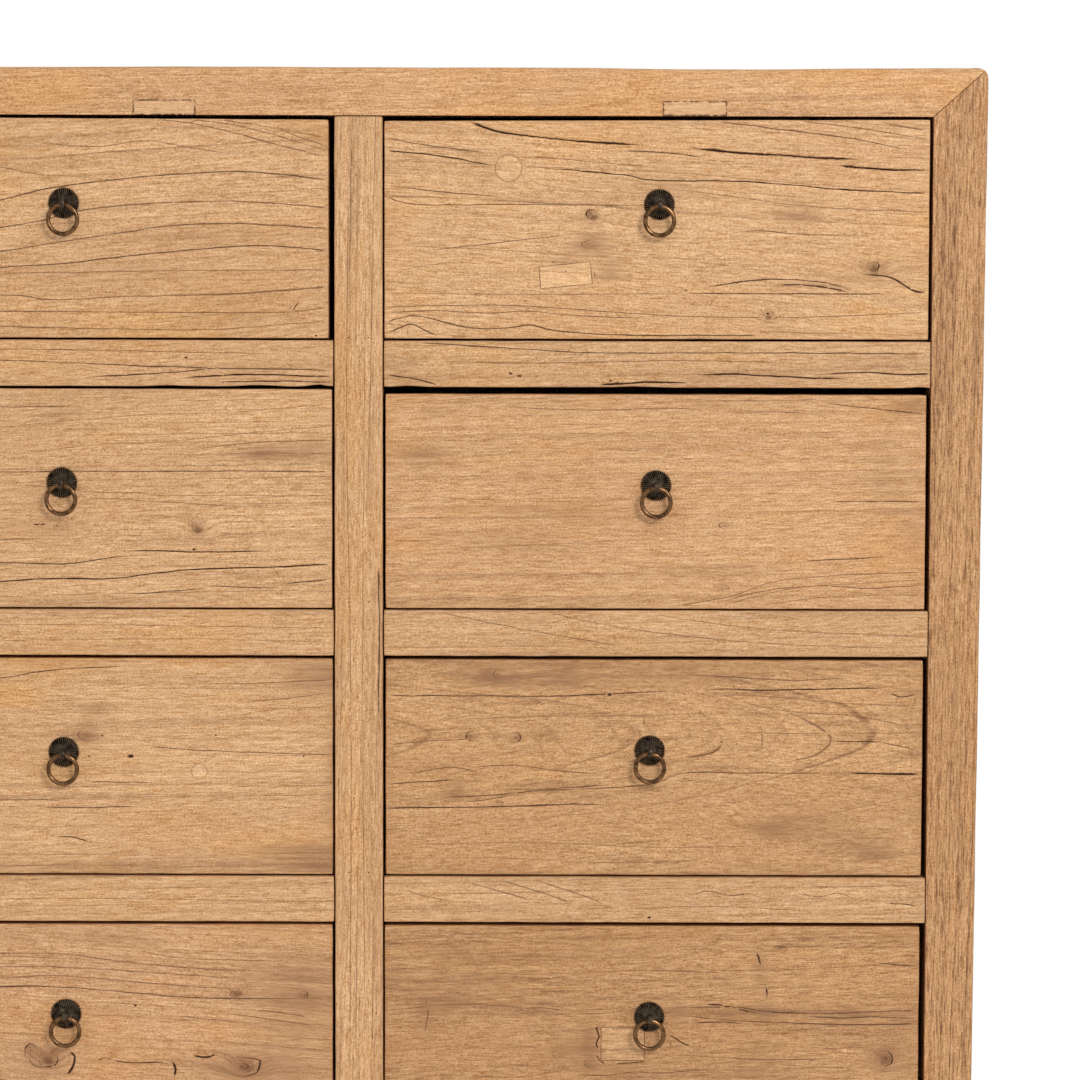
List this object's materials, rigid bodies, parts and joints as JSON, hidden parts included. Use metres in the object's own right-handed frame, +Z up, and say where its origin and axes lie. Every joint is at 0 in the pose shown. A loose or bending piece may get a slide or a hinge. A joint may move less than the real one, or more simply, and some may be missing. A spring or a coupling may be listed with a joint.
{
  "type": "apothecary cabinet",
  "caption": "Wooden cabinet on short square legs with two columns of inset drawers, each with a hanging ring pull on a fluted round plate.",
  "frame": {"origin": "on the floor, at the centre of the base of the bounding box, with the pulls counted in", "axes": "+Z up, the drawers open towards -Y, +X to the right of someone who faces the drawers"},
  "size_m": [1, 0.412, 1.02],
  "materials": {
    "frame_elm": "reclaimed elm, matt oil, vertical grain",
    "rail_elm": "reclaimed elm, matt oil, horizontal grain",
    "panel_elm": "reclaimed elm boards, matt oil",
    "drawer_front_elm": "reclaimed elm with cracks, knots and patches, matt oil",
    "inner_wood": "plain unfinished softwood",
    "bronze": "dark bronze patina, satin",
    "brass": "aged brass, dull polish on the raised parts"
  },
  "bodies": {
    "carcass": {"front_left_post": "frame_elm", "front_right_post": "frame_elm", "top_front_rail": "rail_elm", "bottom_front_rail": "rail_elm", "back_left_post": "frame_elm", "back_right_post": "frame_elm", "top_back_rail": "rail_elm", "bottom_back_rail": "rail_elm", "top_left_rail": "rail_elm", "bottom_left_rail": "rail_elm", "top_right_rail": "rail_elm", "bottom_right_rail": "rail_elm", "centre_stile": "frame_elm", "left_cross_rail_1": "rail_elm", "right_cross_rail_1": "rail_elm", "left_cross_rail_2": "rail_elm", "right_cross_rail_2": "rail_elm", "left_cross_rail_3": "rail_elm", "right_cross_rail_3": "rail_elm", "top_panel": "panel_elm", "left_side_panel": "panel_elm", "right_side_panel": "panel_elm", "back_panel": "panel_elm", "bottom_panel": "inner_wood", "runner_frame_1": "inner_wood", "runner_frame_2": "inner_wood", "runner_frame_3": "inner_wood", "runner_frame_4": "inner_wood"},
    "drawer_left_1": {"drawer_left_1_front": "drawer_front_elm", "drawer_left_1_box": "inner_wood", "drawer_left_1_rosette": "bronze"},
    "ring_left_1": {"drawer_left_1_ring": "brass"},
    "drawer_right_1": {"drawer_right_1_front": "drawer_front_elm", "drawer_right_1_box": "inner_wood", "drawer_right_1_rosette": "bronze"},
    "ring_right_1": {"drawer_right_1_ring": "brass"},
    "drawer_left_2": {"drawer_left_2_front": "drawer_front_elm", "drawer_left_2_box": "inner_wood", "drawer_left_2_rosette": "bronze"},
    "ring_left_2": {"drawer_left_2_ring": "brass"},
    "drawer_right_2": {"drawer_right_2_front": "drawer_front_elm", "drawer_right_2_box": "inner_wood", "drawer_right_2_rosette": "bronze"},
    "ring_right_2": {"drawer_right_2_ring": "brass"},
    "drawer_left_3": {"drawer_left_3_front": "drawer_front_elm", "drawer_left_3_box": "inner_wood", "drawer_left_3_rosette": "bronze"},
    "ring_left_3": {"drawer_left_3_ring": "brass"},
    "drawer_right_3": {"drawer_right_3_front": "drawer_front_elm", "drawer_right_3_box": "inner_wood", "drawer_right_3_rosette": "bronze"},
    "ring_right_3": {"drawer_right_3_ring": "brass"},
    "drawer_left_4": {"drawer_left_4_front": "drawer_front_elm", "drawer_left_4_box": "inner_wood", "drawer_left_4_rosette": "bronze"},
    "ring_left_4": {"drawer_left_4_ring": "brass"},
    "drawer_right_4": {"drawer_right_4_front": "drawer_front_elm", "drawer_right_4_box": "inner_wood", "drawer_right_4_rosette": "bronze"},
    "ring_right_4": {"drawer_right_4_ring": "brass"}
  },
  "joints": [
    {"name": "drawer_left_1_slide", "type": "slide", "parent": "carcass", "child": "drawer_left_1", "axis": [0, -1, 0], "range_m": [0, 0.29]},
    {"name": "ring_left_1_swing", "type": "hinge", "parent": "drawer_left_1", "child": "ring_left_1", "pos_m": [-0.2341, -0.20125, 0.90945], "axis": [-1, 0, 0], "range_deg": [-12, 160]},
    {"name": "drawer_right_1_slide", "type": "slide", "parent": "carcass", "child": "drawer_right_1", "axis": [0, -1, 0], "range_m": [0, 0.29]},
    {"name": "ring_right_1_swing", "type": "hinge", "parent": "drawer_right_1", "child": "ring_right_1", "pos_m": [0.2392, -0.20175, 0.90945], "axis": [-1, 0, 0], "range_deg": [-12, 160]},
    {"name": "drawer_left_2_slide", "type": "slide", "parent": "carcass", "child": "drawer_left_2", "axis": [0, -1, 0], "range_m": [0, 0.29]},
    {"name": "ring_left_2_swing", "type": "hinge", "parent": "drawer_left_2", "child": "ring_left_2", "pos_m": [-0.237, -0.20175, 0.68695], "axis": [-1, 0, 0], "range_deg": [-12, 160]},
    {"name": "drawer_right_2_slide", "type": "slide", "parent": "carcass", "child": "drawer_right_2", "axis": [0, -1, 0], "range_m": [0, 0.29]},
    {"name": "ring_right_2_swing", "type": "hinge", "parent": "drawer_right_2", "child": "ring_right_2", "pos_m": [0.2376, -0.20125, 0.68575], "axis": [-1, 0, 0], "range_deg": [-12, 160]},
    {"name": "drawer_left_3_slide", "type": "slide", "parent": "carcass", "child": "drawer_left_3", "axis": [0, -1, 0], "range_m": [0, 0.29]},
    {"name": "ring_left_3_swing", "type": "hinge", "parent": "drawer_left_3", "child": "ring_left_3", "pos_m": [-0.2372, -0.19975, 0.47005], "axis": [-1, 0, 0], "range_deg": [-12, 160]},
    {"name": "drawer_right_3_slide", "type": "slide", "parent": "carcass", "child": "drawer_right_3", "axis": [0, -1, 0], "range_m": [0, 0.29]},
    {"name": "ring_right_3_swing", "type": "hinge", "parent": "drawer_right_3", "child": "ring_right_3", "pos_m": [0.2335, -0.19975, 0.47245], "axis": [-1, 0, 0], "range_deg": [-12, 160]},
    {"name": "drawer_left_4_slide", "type": "slide", "parent": "carcass", "child": "drawer_left_4", "axis": [0, -1, 0], "range_m": [0, 0.29]},
    {"name": "ring_left_4_swing", "type": "hinge", "parent": "drawer_left_4", "child": "ring_left_4", "pos_m": [-0.2367, -0.19975, 0.25715], "axis": [-1, 0, 0], "range_deg": [-12, 160]},
    {"name": "drawer_right_4_slide", "type": "slide", "parent": "carcass", "child": "drawer_right_4", "axis": [0, -1, 0], "range_m": [0, 0.29]},
    {"name": "ring_right_4_swing", "type": "hinge", "parent": "drawer_right_4", "child": "ring_right_4", "pos_m": [0.2342, -0.20025, 0.25595], "axis": [-1, 0, 0], "range_deg": [-12, 160]}
  ]
}
